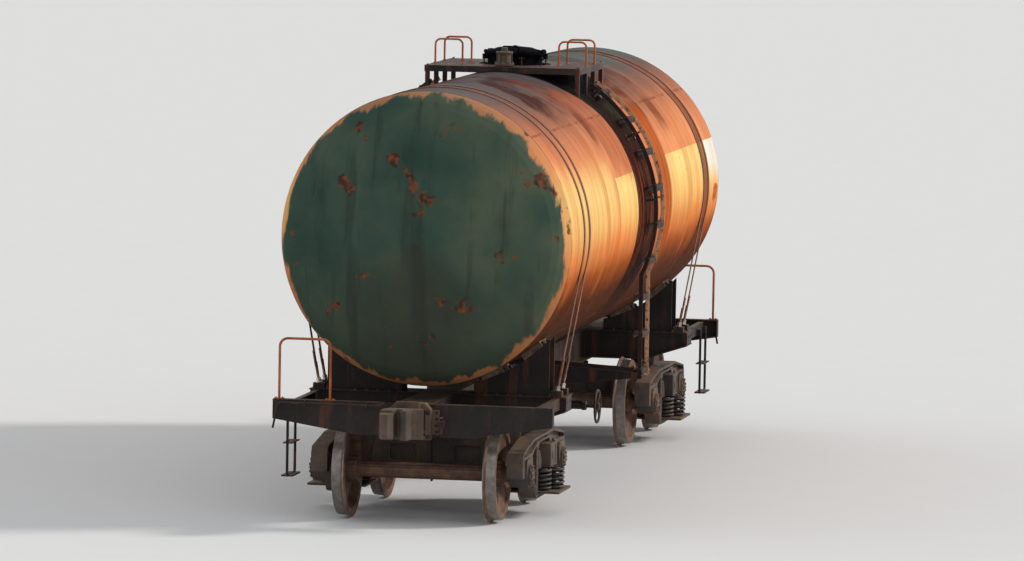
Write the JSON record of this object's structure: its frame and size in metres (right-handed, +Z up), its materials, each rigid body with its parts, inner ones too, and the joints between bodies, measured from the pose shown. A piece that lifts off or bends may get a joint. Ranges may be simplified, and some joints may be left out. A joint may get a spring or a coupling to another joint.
{
  "type": "railway tank car",
  "caption": "Bogie tank wagon: a cylindrical welded tank strapped to a centre-sill frame, with a hatch platform, side ladders, automatic couplers and cast bogies.",
  "frame": {"origin": "midway between the bogies, on the level of the lowest point of the wheel flanges", "axes": "+X along the track, +Y across it, +Z up"},
  "size_m": [12.34, 3.285, 4.7189],
  "materials": {
    "tank_paint": "weathered",
    "fitting_paint": "weathered",
    "frame_paint": "dusty",
    "strap_steel": "weathered",
    "timber": "oiled",
    "cast_metal": "rough",
    "spring_steel": "rough",
    "wheel_steel": "worn"
  },
  "bodies": {
    "car": {"tank_bottom_sheet": "tank_paint", "tank_side_sheets": "tank_paint", "tank_top_sheet": "tank_paint", "tank_heads": "tank_paint", "hatch_neck": "tank_paint", "safety_valve": "cast_metal", "platform": "fitting_paint", "handrails": "fitting_paint", "ladders": "fitting_paint", "outlet_valve": "cast_metal", "tank_straps": "strap_steel", "timber_pads": "timber", "centre_sill": "frame_paint", "body_bolsters": "frame_paint", "end_beams": "frame_paint", "side_beams": "frame_paint", "tank_cradles": "frame_paint", "centre_feet": "frame_paint", "ladder_brackets": "frame_paint", "brake_pipe": "frame_paint", "brake_cylinder": "cast_metal", "air_reservoir": "frame_paint", "air_distributor": "cast_metal", "brake_rigging": "frame_paint", "handbrake": "frame_paint", "strikers": "cast_metal", "centring_beams": "cast_metal", "draft_gears": "cast_metal", "uncoupling_levers": "frame_paint", "corner_steps": "frame_paint"},
    "bogie_a": {"bogie_a_bolster": "cast_metal", "bogie_a_side_frames": "cast_metal", "bogie_a_axleboxes": "cast_metal", "bogie_a_springs": "spring_steel", "bogie_a_wedges": "cast_metal", "bogie_a_brake_gear": "frame_paint"},
    "wheelset_a1": {"wheels_a1": "wheel_steel", "axle_a1": "wheel_steel"},
    "wheelset_a2": {"wheels_a2": "wheel_steel", "axle_a2": "wheel_steel"},
    "bogie_b": {"bogie_b_bolster": "cast_metal", "bogie_b_side_frames": "cast_metal", "bogie_b_axleboxes": "cast_metal", "bogie_b_springs": "spring_steel", "bogie_b_wedges": "cast_metal", "bogie_b_brake_gear": "frame_paint"},
    "wheelset_b1": {"wheels_b1": "wheel_steel", "axle_b1": "wheel_steel"},
    "wheelset_b2": {"wheels_b2": "wheel_steel", "axle_b2": "wheel_steel"},
    "coupler_a": {"coupler_a": "cast_metal"},
    "coupler_b": {"coupler_b": "cast_metal"},
    "hatch_lid": {"hatch_lid": "tank_paint"}
  },
  "joints": [
    {"name": "bogie_a_swivel", "type": "hinge", "parent": "car", "child": "bogie_a", "pos_m": [3.9, 0, 0.829], "axis": [0, 0, 1], "range_deg": [-5, 5]},
    {"name": "wheelset_a1_roll", "type": "hinge", "parent": "bogie_a", "child": "wheelset_a1", "pos_m": [4.825, 0, 0.5065], "axis": [0, 1, 0], "continuous": true},
    {"name": "wheelset_a2_roll", "type": "hinge", "parent": "bogie_a", "child": "wheelset_a2", "pos_m": [2.975, 0, 0.5065], "axis": [0, 1, 0], "continuous": true},
    {"name": "bogie_b_swivel", "type": "hinge", "parent": "car", "child": "bogie_b", "pos_m": [-3.9, 0, 0.829], "axis": [0, 0, 1], "range_deg": [-5, 5]},
    {"name": "wheelset_b1_roll", "type": "hinge", "parent": "bogie_b", "child": "wheelset_b1", "pos_m": [-2.975, 0, 0.5065], "axis": [0, 1, 0], "continuous": true},
    {"name": "wheelset_b2_roll", "type": "hinge", "parent": "bogie_b", "child": "wheelset_b2", "pos_m": [-4.825, 0, 0.5065], "axis": [0, 1, 0], "continuous": true},
    {"name": "coupler_a_swing", "type": "hinge", "parent": "car", "child": "coupler_a", "pos_m": [5, 0, 1.088], "axis": [0, 0, 1], "range_deg": [-7, 7]},
    {"name": "coupler_b_swing", "type": "hinge", "parent": "car", "child": "coupler_b", "pos_m": [-5, 0, 1.088], "axis": [0, 0, 1], "range_deg": [-7, 7]},
    {"name": "hatch_lid_hinge", "type": "hinge", "parent": "car", "child": "hatch_lid", "pos_m": [0.402, 0, 4.584], "axis": [0, 1, 0], "range_deg": [0, 110]}
  ]
}
